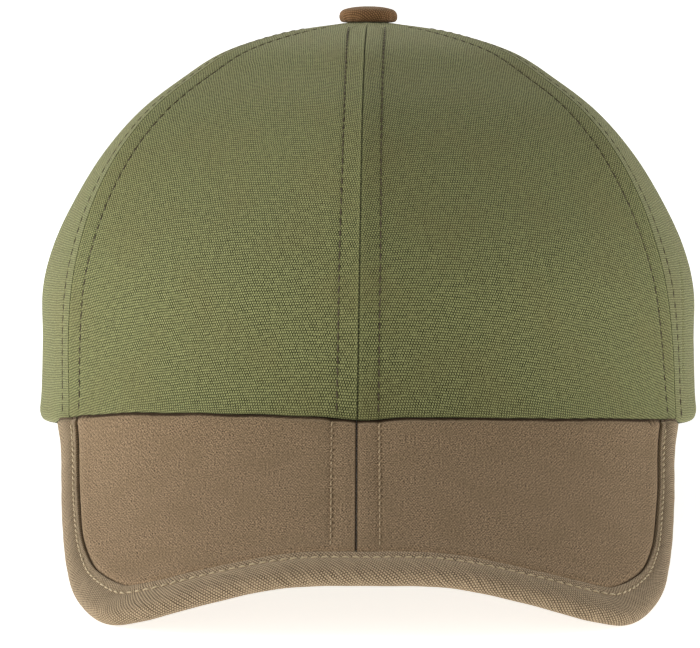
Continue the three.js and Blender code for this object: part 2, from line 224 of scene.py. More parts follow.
def weave_height(tree, cloth, wander, dots, rows, slubs, streak):
    """Height of a plain weave from 0 to 1, for a cloth place in mm."""
    drift = add_node(tree, "TexNoise", {"Vector": cloth, "Scale": 0.11, "Detail": 5.0}).outputs[1]
    centred = add_node(tree, "VectorMath", [drift, (0.5, 0.5, 0.5)], operation="SUBTRACT")
    bent = add_node(tree, "VectorMath", [centred, (wander,) * 3, cloth], operation="MULTIPLY_ADD")
    across, up, _ = add_node(tree, "SeparateXYZ", [bent]).outputs
    warp, weft = wave(tree, across, WARP_PITCH), wave(tree, up, WEFT_PITCH)
    plain = add_node(tree, "Math", [warp, weft], operation="MULTIPLY")
    lumps = add_node(tree, "TexNoise", {"Vector": cloth, "Scale": 0.9})
    patchy = add_node(tree, "MapRange", [lumps, 0.3, 0.7, 0.35, 1.65], **SMOOTH)
    dot = add_node(tree, "Math", [plain, patchy], operation="MULTIPLY")
    row = wave(tree, up, WEFT_PITCH / 2, -math.pi / 2)
    height = add_node(tree, "Math", [dot, dots, 0.5], operation="MULTIPLY_ADD")
    height = add_node(tree, "Math", [row, rows, height], operation="MULTIPLY_ADD")
    stretched = add_node(tree, "VectorMath", [bent, streak], operation="MULTIPLY")
    yarn = add_node(tree, "TexNoise", {"Vector": stretched, "Scale": 1.0})
    slub = add_node(tree, "Math", [yarn, 0.5], operation="SUBTRACT")
    uneven = add_node(tree, "Math", [slub, slubs, height], operation="MULTIPLY_ADD")
    return add_node(tree, "Clamp", [uneven])


# %% Canvas as a material
# Spacing in mm of the dots of painted shade in a seam, and how dark the shade painted along a row of
# topstitching is
SHADE_DOT_PITCH = 0.72
PINCH_SHADE = 0.3


def canvas(name, gap, yarn, stain, wander=0.9, dots=0.36, rows=0.3, slubs=0.6, depth=0.00014,
           sheen=0.4, bloom="#f1eec4", blotch=0.03, stain_share=0.25, streak=(0.16, 1.5, 0.0)):
    """Woven cotton. gap and yarn are the colours between the yarns and on top of them.

    Where the cloth goes into a seam, shade is painted into its colour, in dots. An attribute is 1
    where a row of topstitching draws the cloth in, and more down in a slit, and shade is painted
    there too. No light reaches the fuzz of the yarns there, so the sheen goes with the shade.
    """
    material, tree, shader = new_material(name)
    cloth = add_node(tree, "Attribute", attribute_name="cloth").outputs["Vector"]
    edge = add_node(tree, "Attribute", attribute_name="edge").outputs["Fac"]
    line_shade = add_node(tree, "Attribute", attribute_name="line_shade").outputs["Fac"]
    height = weave_height(tree, cloth, wander, dots, rows, slubs, streak)
    woven = add_node(tree, "Mix", {0: height, 6: linear(gap), 7: linear(yarn)}, **COLOUR)
    clouds = add_node(tree, "TexNoise", {"Vector": cloth, "Scale": blotch, "Detail": 3.0})
    patches = add_node(tree, "MapRange", [clouds, 0.4, 0.7, 0.0, stain_share], **SMOOTH)
    dyed = add_node(tree, "Mix", {0: patches, 6: woven.outputs[2], 7: linear(stain)}, **COLOUR)
    # A lighter rim a little in from a seam, the hem or a fold: partly wear, partly a painted highlight
    # where light catches the edge's ridge
    edge_highlight_and_wear = add_node(tree, "MapRange", [edge, 0.5, 1.4, 0.15, 0.0], **SMOOTH)
    worn = add_node(tree, "Mix", {0: edge_highlight_and_wear, 6: dyed.outputs[2], 7: linear(yarn)}, **COLOUR)
    # Painted shade: the colour darkens, in dots, within half a millimetre of a seam or edge, and along rows
    # of topstitching, the slit and the line of the hem
    along = add_node(tree, "SeparateXYZ", [cloth]).outputs[1]
    shade_dot_wave = wave(tree, along, SHADE_DOT_PITCH / 2)
    shade_dots = add_node(tree, "MapRange", [shade_dot_wave, -0.5, 0.5, 0.5, 1.0], **SMOOTH)
    edge_shade = add_node(tree, "MapRange", [edge, 0.12, 0.5, 0.95, 0.0], **SMOOTH)
    dotted_edge_shade = add_node(tree, "Math", [edge_shade, shade_dots], operation="MULTIPLY")
    line_shade_amount = add_node(tree, "Math", [line_shade, PINCH_SHADE], operation="MULTIPLY")
    shaded = add_node(tree, "Math", [dotted_edge_shade, line_shade_amount], operation="MAXIMUM")
    shaded_colour = add_node(tree, "Mix", {0: shaded, 6: worn.outputs[2], 7: linear(gap)}, **COLOUR)
    tree.links.new(shaded_colour.outputs[2], shader.inputs["Base Color"])
    roughness = add_node(tree, "MapRange", [height, 0.2, 0.8, 0.98, 0.86], **SMOOTH)
    tree.links.new(roughness.outputs[0], shader.inputs["Roughness"])
    bump = add_node(tree, "Bump", {"Height": height, "Strength": 0.8, "Distance": depth})
    tree.links.new(bump.outputs[0], shader.inputs["Normal"])
    # Cotton keeps the default IOR of 1.5, but its fibres scatter most of the highlight
    shader.inputs["Specular IOR Level"].default_value = 0.25
    fuzz = add_node(tree, "MapRange", [shaded, 0.1, 0.9, sheen, 0.0], **SMOOTH)
    tree.links.new(fuzz.outputs[0], shader.inputs["Sheen Weight"])
    shader.inputs["Sheen Roughness"].default_value = 0.45
    shader.inputs["Sheen Tint"].default_value = linear(bloom)
    return material


# %% Four canvases
# Sage cotton duck, piece dyed and washed: matt, with a pale bloom where it is seen edge on
crown_canvas = canvas("sage cotton duck", "#1a1e07", "#9d9f69", "#75663e", dots=0.68,
                      streak=(0.5, 1.5, 0.0), blotch=0.05, stain_share=0.16, sheen=0.3)
# Taupe cotton, brushed after weaving, so that a nap hides most of the weave
peak_canvas = canvas("brushed taupe cotton", "#30200e", "#b89b79", "#7c674b", dots=0.22, rows=0.08,
                     slubs=2.2, depth=0.00006, sheen=0.25, bloom="#f3dfc0", blotch=0.12,
                     stain_share=0.35, streak=(2.2, 2.2, 0.0))
# The same cloth unbrushed and cut on the bias, so that its rows run slantwise
binding_canvas = canvas("bias cut taupe cotton", "#302110", "#c9b08f", "#7c6c50", dots=0.42,
                        sheen=0.3, bloom="#f3dfc0")
# Brown cotton drawn tight over the button's blank, so that its weave lies smooth and even
button_canvas = canvas("brown cotton", "#35210f", "#a57b52", "#6a4c2c", slubs=0.5, sheen=0.25,
                       bloom="#f3dfc0")
print("canvases", [cloth.name for cloth in (crown_canvas, peak_canvas, binding_canvas, button_canvas)])

# %% Three threads
# A stripe and the shade beside it take 0.5 mm, as on a sewing thread of two plies
THREAD_TWIST = 0.25


def thread(name, dark, light):
    """Spun polyester thread: two plies twisted together, which show as slanting stripes."""
    material, tree, shader = new_material(name)
    cloth = add_node(tree, "Attribute", attribute_name="cloth").outputs["Vector"]
    around, along, _ = add_node(tree, "SeparateXYZ", [cloth]).outputs
    slant = add_node(tree, "Math", [around, along], operation="ADD")
    twist = add_node(tree, "MapRange", [wave(tree, slant, THREAD_TWIST), -0.8, 0.6, 0.0, 1.0], **SMOOTH)
    plies = add_node(tree, "Mix", {0: twist, 6: linear(dark), 7: linear(light)}, **COLOUR)
    tree.links.new(plies.outputs[2], shader.inputs["Base Color"])
    bump = add_node(tree, "Bump", {"Height": twist, "Strength": 0.7, "Distance": 0.00006})
    tree.links.new(bump.outputs[0], shader.inputs["Normal"])
    shader.inputs["Roughness"].default_value = 0.55
    return material


# The crown is sewn in dark brown, the slit in the colour of its cloth, the binding in a paler tan
brown_thread = thread("dark brown polyester thread", "#29210f", "#574927")
taupe_thread = thread("taupe polyester thread", "#866f4f", "#ccb491")
tan_thread = thread("tan polyester thread", "#a58e69", "#e6d3ae")
print("threads", [yarn.name for yarn in (brown_thread, taupe_thread, tan_thread)])

# %% [markdown]
# ## A wall of cloth
#
# Every cloth piece here is a closed wall: one sheet of points outside, one inside, and a strip
# that joins them all round. Both are grids, so NumPy can work out all points at once, and the
# mesh is made from the arrays. Solidify could thicken a single sheet, but its edges would be
# square, while a turned hem is round and a seam's edge rolls in. With two sheets each
# can be shaped by how far it is from an edge.

# %% Mesh from two sheets
SHARP_ANGLE = math.radians(50)


def strip(first, second):
    """Faces between two lines of point numbers."""
    return np.stack([first[:-1], first[1:], second[1:], second[:-1]], axis=-1)


def make_piece(name, points, faces, cloth, edge, material, line_shade=None):
    """A mesh object from points in mm of the worn cap, with what its material asks about them."""
    line_shade = np.zeros(edge.size) if line_shade is None else line_shade
    mesh = bpy.data.meshes.new(name)
    mesh.from_pydata(at_rest(points).tolist(), [], faces)
    mesh.polygons.foreach_set("use_smooth", np.ones(len(mesh.polygons), bool))
    mesh.set_sharp_from_angle(angle=SHARP_ANGLE)
    mesh.attributes.new("cloth", "FLOAT_VECTOR", "POINT").data.foreach_set("vector", cloth.ravel())
    mesh.attributes.new("edge", "FLOAT", "POINT").data.foreach_set("value", edge.ravel())
    mesh.attributes.new("line_shade", "FLOAT", "POINT").data.foreach_set("value", line_shade.ravel())
    mesh.materials.append(material)
    mesh.validate()
    piece = bpy.data.objects.new(name, mesh)
    scene.collection.objects.link(piece)
    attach(piece, "root")
    print(name, len(mesh.vertices), "points")
    return piece


def wall(name, outer, inner, cloth, edge, material, line_shade=None):
    """A closed wall. Rows of the sheets run up and columns to the right, as seen from outside."""
    rows, columns = outer.shape[:2]
    out = np.arange(rows * columns).reshape(rows, columns)
    inn = out + rows * columns
    quads = [strip(out[row], out[row + 1]) for row in range(rows - 1)]
    quads += [strip(inn[row + 1], inn[row]) for row in range(rows - 1)]
    quads += [strip(inn[0], out[0]), strip(out[-1], inn[-1])]
    quads += [strip(out[:, 0], inn[:, 0]), strip(inn[:, -1], out[:, -1])]
    points = np.concatenate([outer.reshape(-1, 3), inner.reshape(-1, 3)])
    flat_cloth = np.zeros((rows * columns, 3))
    flat_cloth[:, :2] = cloth.reshape(-1, 2)
    both = np.concatenate([flat_cloth, flat_cloth])
    edges = np.concatenate([edge.ravel(), edge.ravel()])
    line_shade_amount = np.zeros(edges.size)
    if line_shade is not None:
        line_shade_amount[: line_shade.size] = line_shade.ravel()
    return make_piece(name, points, np.concatenate(quads).tolist(), both, edges, material, line_shade_amount)


def smooth_step(value, start, end):
    """0 before start, 1 after end, and smooth between them."""
    share = np.clip((value - start) / (end - start), 0, 1)
    return share * share * (3 - 2 * share)


def rolled(distance, radius):
    """How far a round edge lies below its face, at a distance in from the edge."""
    into = np.clip(radius - distance, 0, radius)
    return radius - np.sqrt(radius**2 - into**2)


def ridge(distance, middle, width, height=1.0):
    """A smooth ridge, or a dip where its height is less than 0."""
    return height * np.exp(-(((distance - middle) / width) ** 2))


def ripple(length, pitch, share):
    """A factor round 1 that is larger by some share at each pitch."""
    return 1 + share * np.cos(2 * np.pi * length / pitch)


def unit(vectors):
    """Vectors at a length of 1."""
    return vectors / np.linalg.norm(vectors, axis=-1, keepdims=True)


def lengths_along(points):
    """Length along a line of points from its start to each of them."""
    return np.concatenate([[0], np.cumsum(np.linalg.norm(np.diff(points, axis=0), axis=1))])


# %% [markdown]
# ## The crown's shape
#
# The crown is given by a table: at each height its half width, its reach to the front and to
# the back, and how far its panels are pulled flat between their seams. Six seams run up it
# from the hem to the button. A panel is all that lies between two of them, so a point on it
# needs only a share across and a level up.

# %% Crown table and seams
CROWN_ROWS = np.array([
    # height, side, front, back, flat
    (0, 88.8, 98.8, 100.8, 0.0),
    (6, 89.1, 98.9, 100.4, 0.22),
    (22, 90.2, 99.4, 101.0, 0.42),
    (36, 90.0, 98.6, 99.6, 0.4),
    (48, 88.0, 95.8, 94.8, 0.54),
    (60, 84.0, 91.2, 87.7, 0.79),
    (72, 77.1, 84.0, 77.5, 0.94),
    (83, 67.1, 72.5, 62.5, 1.0),
    (92, 54.5, 57.5, 47.0, 1.0),
    (99, 42.2, 43.2, 34.0, 1.0),
    (104, 25.2, 24.0, 19.0, 1.0),
    (106.4, 9.2, 8.5, 7.0, 1.0),
    (107.0, 3.2, 3.1, 3.0, 0.0),
]).T
ROW_STEPS = CROWN_ROWS.shape[1] - 1
HEM_SIDE, HEM_FRONT, HEM_BACK = CROWN_ROWS[1:4, 0]
SEAM_BEND_HEIGHT = 70
SEAM_BEND_EASE = 1.5
# The hem rises in front, and its waves die away up to this height
FRONT_RISE = 6.5
WAVE_REACH = 30
WAVE_START, WAVE_END = -0.05, -0.35
HEM_WAVE_ACROSS = np.array([-84, -79, -72, -60, -48, -30, -15, -1, 10, 30, 45, 62, 79, 84], float)
HEM_WAVE_LIFT = np.array([0.7, 2.1, 2.8, 3.1, 2.5, 1.7, 0.85, -0.25, 0.55, 0.75, 1.1, 1.75, 1.9, 0.75])

NORMAL_STEP = 0.002

# Seams as angles from the middle of the front: at the hem, and above the bend
CENTRE_FRONT = (-1.7, -1.2)
FRONT_RIGHT = (64.2, 55.9)
BACK_RIGHT = (121, 121)
CENTRE_BACK = (180, 180)
BACK_LEFT = (239, 239)
FRONT_LEFT = (299.7, 303.2)
PANELS = [
    ("front_right_panel", CENTRE_FRONT, FRONT_RIGHT, 0.088),
    ("side_right_panel", FRONT_RIGHT, BACK_RIGHT, 0.088),
    ("back_right_panel", BACK_RIGHT, CENTRE_BACK, 0.04),
    ("back_left_panel", CENTRE_BACK, BACK_LEFT, 0.04),
    ("side_left_panel", BACK_LEFT, FRONT_LEFT, 0.09),
    ("front_left_panel", FRONT_LEFT, (CENTRE_FRONT[0] + 360, CENTRE_FRONT[1] + 360), 0.1),
]


def crown_row(level):
    """Height, side, front, back and flatness, from the table, for levels from 0 to 1."""
    place = np.clip(level, 0, 1) * ROW_STEPS
    index = np.minimum(place.astype(int), ROW_STEPS - 1)
    t = place - index
    before, start, end, after = (
        CROWN_ROWS[:, np.clip(index + step, 0, ROW_STEPS)] for step in (-1, 0, 1, 2)
    )
    from_start = (2 * t**3 - 3 * t**2 + 1) * start + (t**3 - 2 * t**2 + t) * (end - before) / 2
    from_end = (3 * t**2 - 2 * t**3) * end + (t**3 - t**2) * (after - start) / 2
    return from_start + from_end


def seam_angle(seam, height):
    """Angle of a seam at a height, in degrees."""
    below = np.clip(1 - height / SEAM_BEND_HEIGHT, 0, 1) ** SEAM_BEND_EASE
    return seam[1] + (seam[0] - seam[1]) * below


def hem_wave(across):
    """How far the hem is lifted by its waves."""
    place = np.clip(across, HEM_WAVE_ACROSS[0], HEM_WAVE_ACROSS[-1])
    index = np.clip(np.searchsorted(HEM_WAVE_ACROSS, place) - 1, 0, len(HEM_WAVE_LIFT) - 2)
    start, end = HEM_WAVE_ACROSS[index], HEM_WAVE_ACROSS[index + 1]
    share = smooth_step(place, start, end)
    return HEM_WAVE_LIFT[index] + (HEM_WAVE_LIFT[index + 1] - HEM_WAVE_LIFT[index]) * share


def crown_outside(panel, share, level, slack=None):
    """Points of the crown's outside, in mm."""
    _, first, last, panel_slack = panel
    slack = panel_slack if slack is None else slack
    height, side, front, back, flat = crown_row(level)
    start, end = seam_angle(first, height), seam_angle(last, height)
    angle = np.radians(start + (end - start) * share)
    radius = 1 - slack * flat * 4 * share * (1 - share)
    facing = np.cos(angle)
    x = side * np.sin(angle) * radius
    y = -np.where(facing > 0, front, back) * facing * radius
    before = smooth_step(facing, WAVE_END, WAVE_START)
    waves = hem_wave(x) * np.clip(1 - height / WAVE_REACH, 0, 1) ** 2 * before
    z = height + FRONT_RISE * np.maximum(facing, 0) ** 2 * (1 - level) ** 2 + waves
    return np.stack([x, y, z], axis=-1)


def crown_normal(panel, share, level):
    """The way out of the crown, the same for both panels along their seam."""
    low = np.minimum(level, 1 - NORMAL_STEP)
    right = crown_outside(panel, share + NORMAL_STEP, low, 0) - crown_outside(
        panel, share - NORMAL_STEP, low, 0)
    above = crown_outside(panel, share, low + NORMAL_STEP, 0) - crown_outside(panel, share, low, 0)
    return unit(np.cross(right, above))


print("crown", CROWN_ROWS[0, -1], "mm high,", round(2 * CROWN_ROWS[1].max(), 1), "mm wide")

# %% [markdown]
# ## The hem
#
# A hem is the cloth folded twice, so the crown is thicker for its lowest 18 mm and its edge is
# round. In front it ends at its seam with the peak, and at the back the cap's weight presses it
# flat on the table. At the sides, where no peak holds it out, it curls in a little.

# %% Hem
# How steeply the peak falls, how far it reaches in under the crown and how far across
PEAK_SLOPE = math.radians(32)
PEAK_TUCK = 2.2
TIP_ACROSS = 79.5
# How far round from the back the hem is pressed flat, in degrees
PRESSED_HALF_ANGLE = 24
PRESSED_FADE_ANGLE = 50
PANEL_WALL = 1.6
HEM_WALL = 2.6
HEM_DEPTH = 18
HEM_CURL = 2.2
HEM_CURL_HEIGHT = 4.5
FADE_LEVELS = 15
LEVEL_PER_MM = 1 / ROW_STEPS / CROWN_ROWS[0, 1]


def hem_depth(across):
    """Depth of the seam between crown and peak; negative is in front."""
    return -HEM_FRONT * np.sqrt(np.clip(1 - (across / HEM_SIDE) ** 2, 0, 1))


def hem_height(across):
    """Height of that seam, before the waves."""
    return FRONT_RISE * np.clip(1 - (across / HEM_SIDE) ** 2, 0, 1)


def hem_edge_height(points):
    """Height of the hem's lower edge under points of level 0."""
    x, y, z = np.moveaxis(points, -1, 0)
    from_back = np.degrees(np.abs(np.arctan2(x, y)))
    pressed = 1 - smooth_step(from_back, PRESSED_HALF_ANGLE, PRESSED_FADE_ANGLE)
    behind = z + ((y - HEM_BACK) * math.tan(REST_LEAN) - z) * pressed
    return np.where(y > 0, behind, z)


def crown_point(panel, share, level, inward):
    """Points of a panel pushed in by some millimetres, with their hem set down."""
    start = crown_outside(panel, share, 0 * level)
    out = crown_normal(panel, share, 0 * level)
    hem = start - out * inward[..., None]
    target = hem_edge_height(hem)
    fade = np.clip(1 - level * FADE_LEVELS, 0, 1)
    climb = np.maximum(0, target - hem[..., 2]) * LEVEL_PER_MM
    raised = level + climb * fade
    points = crown_outside(panel, share, raised) - crown_normal(panel, share, raised) * inward[..., None]
    slid_hem = crown_outside(panel, share, climb) - crown_normal(panel, share, climb) * inward[..., None]
    points[..., 2] += (target - slid_hem[..., 2]) * fade
    return points


print("hem", HEM_DEPTH, "mm deep and", HEM_WALL, "mm thick")

# %% [markdown]
# ## Seams and topstitching
#
# Two panels are sewn face to face, the spare cloth is pressed open to both sides, and a row of
# topstitching on each side of the seam holds it down. That leaves a fine groove at the seam, a
# soft ridge over the spare cloth and a shallow dip along each row of stitches. The relief is a
# sum of such curves over the distance to the seam.

# %% Relief beside a seam
STITCH_PITCH = 2.9
ROW_FROM_SEAM = 5.2
STITCH_PULL = 0.35
SEAM_ROLL = 0.7
PADDING_PITCH = 6.7
PADDING_SWELL = 0.15
SPARE_HEIGHT = 0.16
SPARE_ZONE = (6.5, 9.5)
# Columns of points beside a seam and rows over the hem, in mm from it
SEAM_ZONE = np.array([
    0, 0.08, 0.22, 0.42, 0.7, 1.1, 1.6, 2.2, 2.9, 3.6, 4.3, 4.8, 5.0, 5.2, 5.4, 5.6, 6.3, 7.1, 8.1, 9.3,
])
HEM_ZONE = np.array([0, 0.14, 0.36, 0.7, 1.3, 2.0, 2.8, 3.7, 4.8, 6.0])
CLOTH_STEP = 1.35


def seam_relief(distance, along):
    """Height of the cloth beside a seam, in mm, at a distance from it and a length along it."""
    groove = -rolled(distance, SEAM_ROLL)
    padding = ridge(distance, middle=2.7, width=1.5, height=0.32)
    padding *= ripple(along, PADDING_PITCH, PADDING_SWELL)
    dip = ridge(distance, ROW_FROM_SEAM, width=0.6, height=-0.3) * ripple(along, STITCH_PITCH, STITCH_PULL)
    spare = SPARE_HEIGHT * (1 - smooth_step(distance, *SPARE_ZONE))
    return groove + padding + dip + spare


print("seam zone", len(SEAM_ZONE), "columns on each side")

# %% Crease of one side panel
# A soft crease in the side panel on the right: how far it is from the seam at some heights
CREASE_HEIGHTS = [12.0, 23.0, 34.0, 42.0]
CREASE_FROM_SEAM = [8.9, 11.0, 14.0, 17.8]
CREASED_PANEL = "side_right_panel"
CREASE_STARTS = (6, 16)
CREASE_ENDS = (38, 48)


def crease_relief(distance, climb):
    """Depth of that crease, which fades out at both ends."""
    middle = np.interp(climb, CREASE_HEIGHTS, CREASE_FROM_SEAM)
    fade = smooth_step(climb, *CREASE_STARTS) * (1 - smooth_step(climb, *CREASE_ENDS))
    swell = ridge(distance, middle + 2.2, width=1.6, height=0.35)
    return (swell + ridge(distance, middle, width=0.9, height=-0.5)) * fade


# %% Grid of a panel
MIDDLE_COLUMNS = 62
LEVEL_SAMPLES = 1500
SHARE_SAMPLES = 121
# In a panel narrower than this, the relief beside its two seams is squeezed
SEAMS_ROOM = 2.6 * SEAM_ZONE[-1]


def squeezed(width):
    """The share of its full width that the relief beside a seam has room for."""
    return np.minimum(1, width / SEAMS_ROOM)


def spread(width):
    """Places across a panel in mm: close together beside both seams, even between them."""
    beside = SEAM_ZONE * squeezed(width)
    middle = np.linspace(beside[-1], width - beside[-1], MIDDLE_COLUMNS + 2)[1:-1]
    return np.concatenate([beside, middle, width - beside[::-1]])


def panel_grid(panel):
    """Shares, levels, and lengths in mm across and up, for a panel's grid of points."""
    fine = np.linspace(0, 1, LEVEL_SAMPLES)
    middle = crown_outside(panel, np.full_like(fine, 0.5), fine)
    climbed = lengths_along(middle)
    even = np.arange(HEM_ZONE[-1] + CLOTH_STEP, climbed[-1] - CLOTH_STEP / 2, CLOTH_STEP)
    up = np.concatenate([HEM_ZONE, even, [climbed[-1]]])
    levels = np.interp(up, climbed, fine)
    shares = np.linspace(0, 1, SHARE_SAMPLES)
    share_grid, across_grid, widths = [], [], []
    for level in levels:
        line = crown_outside(panel, shares, np.full_like(shares, level))
        lengths = lengths_along(line)
        across = spread(lengths[-1])
        share_grid.append(np.interp(across, lengths, shares))
        across_grid.append(across)
        widths.append(lengths[-1])
    return np.array(share_grid), levels, np.array(across_grid), up, np.array(widths)


# %% Flat cut of a panel
FLATTENED = 0.6
BEND_ZONE = (18, 60)
FLATTEST = 1e-4
# Blocking draws the fronts down at the sides: how the weft curves away from the centre seam
WEFT_SAG = {"front_left_panel": 0.0018, "front_right_panel": 0.0024}


def cut_flat(across, up, widths):
    """Places on the flat cut of a panel, in mm, whose rows of weft stay nearly straight."""
    bend = smooth_step(up, *BEND_ZONE)
    narrowing = -FLATTENED * np.gradient(widths, up) / np.maximum(widths, 1) * bend
    offset = across - widths[:, None] / 2
    radius = 1 / np.maximum(narrowing, FLATTEST)[:, None]
    turn = offset / radius
    return np.stack([radius * np.sin(turn), up[:, None] + radius * (1 - np.cos(turn))], axis=-1)


# %% Crown panels
ALLOWANCE = 7.0
ALLOWANCE_THICKNESS = 0.5
SEAM_OVERLAP = 0.06
CURL_ZONE = (79, 86)
HEM_PUCKER = {"middle": 6.5, "width": 2.5, "height": 0.12}
LEAST_RELIEF = 0.3
LEAST_WALL = 0.02


def make_panel(panel):
    """One panel of the crown, as a wall of canvas with its seams and hem."""
    share, levels, across, up, widths = panel_grid(panel)
    level = np.repeat(levels[:, None], share.shape[1], axis=1)
    climb = np.repeat(up[:, None], share.shape[1], axis=1)
    squeeze = squeezed(widths)[:, None]
    to_seam = np.minimum(across, widths[:, None] - across) / squeeze
    relief = seam_relief(to_seam, climb) * np.clip(squeeze, LEAST_RELIEF, 1)
    relief += ridge(climb, **HEM_PUCKER) * np.sin(across * 1.1) * np.sin(across * 0.31 + 1)
    if panel[0] == CREASED_PANEL:
        relief += crease_relief(across, climb)
    height = crown_row(level)[0]
    folded = 1 - smooth_step(height, HEM_DEPTH - 0.6, HEM_DEPTH)
    thickness = PANEL_WALL + (HEM_WALL - PANEL_WALL) * folded
    roll = rolled(np.maximum(climb, 0.05), HEM_WALL / 2)
    outside = crown_outside(panel, share, level)
    to_side = smooth_step(np.abs(outside[..., 0]), *CURL_ZONE)
    curl = HEM_CURL * np.clip(1 - climb / HEM_CURL_HEIGHT, 0, 1) ** 2 * to_side
    inward_out = np.minimum(np.maximum(roll, -relief), HEM_WALL / 2 - 0.01) + curl
    allowance = ALLOWANCE_THICKNESS * (1 - smooth_step(to_seam, ALLOWANCE - 0.5, ALLOWANCE))
    inward_in = thickness - roll + allowance * smooth_step(climb, 2, 4) * squeeze + curl
    wider = share + (share - 0.5) * 2 * SEAM_OVERLAP / np.maximum(widths, 2)[:, None]
    outer = crown_point(panel, wider, level, inward_out)
    inner = crown_point(panel, wider, level, np.maximum(inward_in, inward_out + LEAST_WALL))
    # Distance to the nearest seam or to the hem: shade is painted into the colour close to it, and a
    # lighter rim beyond is partly wear and partly a painted highlight
    edge = np.minimum(to_seam, climb)
    flat = cut_flat(across, up, widths)
    from_centre = across if panel[1] is CENTRE_FRONT else widths[:, None] - across
    flat[..., 1] += WEFT_SAG.get(panel[0], 0) / 2 * from_centre**2
    # Shade painted along each row of topstitching
    line_shade = ridge(to_seam, ROW_FROM_SEAM, width=0.22) * (squeeze > 0.9)
    piece = wall(panel[0] + "_cloth", outer, inner, flat, edge, crown_canvas, line_shade)
    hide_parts(panel[0])


for panel in PANELS:
    make_panel(panel)

# %% [markdown]
# ## Thread
#
# A stitch of a lockstitch seam is a short length of thread that comes up out of one hole and
# goes down into the next. Modelled as a bead that is pulled in at both ends, it casts the tiny
# shadows that a painted dash would not. The crown's rows are one mesh, and so are the rows
# beside the slit and those of the binding.

# %% Stitches
STITCH_RINGS = np.array([-0.5, -0.44, -0.25, 0.0, 0.25, 0.44, 0.5])
STITCH_FULLNESS = np.array([0.45, 0.8, 1.0, 1.0, 1.0, 0.8, 0.45])
STITCH_RISE = np.array([-1.5, -0.7, 0.1, 0.3, 0.1, -0.7, -1.5])
STITCH_SIDES = 8
STITCH_SLANT = 0.16
# Thread and button have no sewn edge, so each point says that it is far from one
FAR_FROM_EDGE = 10.0


def stitch_points(middle, along, out, length, radius):
    """Points of many stitches: arrays of middles, directions and ways out."""
    side = np.cross(out, along)
    turns = np.arange(STITCH_SIDES) / STITCH_SIDES * 2 * np.pi
    ring = np.cos(turns)[:, None] * side[:, None, None, :] + np.sin(turns)[:, None] * out[:, None, None, :]
    full = ring * (STITCH_FULLNESS * radius)[None, :, None, None]
    run = along[:, None, None, :] * (STITCH_RINGS * length)[None, :, None, None]
    rise = out[:, None, None, :] * (STITCH_RISE * radius)[None, :, None, None]
    return middle[:, None, None, :] + full + run + rise


print("a stitch has", len(STITCH_RINGS), "rings of", STITCH_SIDES, "points")


def tube_faces(number):
    """Faces of a tube whose rings of point numbers are given, with a cap at each end."""
    faces = []
    for near, far in zip(number, number[1:]):
        faces += np.stack([near, np.roll(near, -1), np.roll(far, -1), far], axis=-1).tolist()
    return faces + [number[0][::-1].tolist(), number[-1].tolist()]


def make_stitches(name, rows, material, radius):
    """All stitches of some rows as one piece. A row is (middles, directions, ways out, length)."""
    blocks = [stitch_points(*row, radius) for row in rows if len(row[0])]
    points = np.concatenate(blocks)
    count, rings, sides = points.shape[:3]
    faces = tube_faces(np.arange(rings * sides).reshape(rings, sides))
    all_faces = []
    for base in range(0, count * rings * sides, rings * sides):
        all_faces += [[base + corner for corner in face] for face in faces]
    around = np.linspace(0, 1, sides, endpoint=False) * 2 * np.pi * radius
    cloth = np.zeros((count, rings, sides, 3))
    cloth[..., 0] = (STITCH_RINGS * STITCH_PITCH)[None, :, None]
    cloth[..., 1] = around
    edge = np.full(cloth.shape[:3], FAR_FROM_EDGE)
    piece = make_piece(name, points.reshape(-1, 3), all_faces, cloth.reshape(-1, 3), edge, material)


def along_line(line, out, pitch, length, lift, start=1.0, end=1.0):
    """Stitches along a line of points with their ways out, lifted a little off it."""
    lengths = lengths_along(line)
    count = max(0, int((lengths[-1] - start - end) / pitch))
    places = start + (np.arange(count) + 0.5) * pitch

    def at(values, where):
        return np.stack([np.interp(where, lengths, values[:, axis]) for axis in range(3)], axis=-1)

    direction = unit(at(line, places + 0.4) - at(line, places - 0.4))
    normal = at(out, places)
    normal = unit(normal - direction * np.sum(normal * direction, axis=-1, keepdims=True))
    slant = STITCH_SLANT * np.sin(places * 2.3)[:, None]
    direction = unit(direction + np.cross(normal, direction) * slant)
    return at(line, places) + normal * lift, direction, normal, length


# %% Topstitching of the crown
ROW_ROOM = 1.6


def seam_rows(panel):
    """The two rows of a panel, one beside each of its seams."""
    share, levels, across, up, widths = panel_grid(panel)
    fits = widths > 2 * (ROW_FROM_SEAM + ROW_ROOM)
    rows = []
    for from_left in (True, False):
        places = [
            np.interp(ROW_FROM_SEAM if from_left else width - ROW_FROM_SEAM, lengths, shares)
            for width, lengths, shares in zip(widths, across, share)
        ]
        places = np.array(places)[fits]
        line = crown_point(panel, places, levels[fits], np.zeros(fits.sum()))
        out = crown_normal(panel, places, levels[fits])
        rows.append(along_line(line, out, STITCH_PITCH, length=2.5, lift=-0.1, start=1.6, end=0.5))
    return rows


crown_rows = [row for panel in PANELS for row in seam_rows(panel)]
make_stitches("crown_topstitching", crown_rows, brown_thread, radius=0.19)

# %% [markdown]
# ## The peak's shape
#
# A peak is cut flat, and bends only one way, like a sheet of paper: along straight lines that
# run down to the front. So each point of the flat cut is first moved across until the length
# along the bend is right, and then slid down the slope from the crown's seam. The outline is
# one smooth curve through measured points.

# %% Flat cut and bend
BEND_STEP = 0.25
SLOPE_STEP = 0.01
bend_across = np.arange(0, HEM_SIDE - BEND_STEP, BEND_STEP)


def bend_height(across):
    """The bend of the peak, seen along its straight lines."""
    return -math.sin(PEAK_SLOPE) * hem_depth(across) + math.cos(PEAK_SLOPE) * hem_height(across)


bend_lengths = np.concatenate([[0], np.cumsum(np.hypot(BEND_STEP, np.diff(bend_height(bend_across))))])


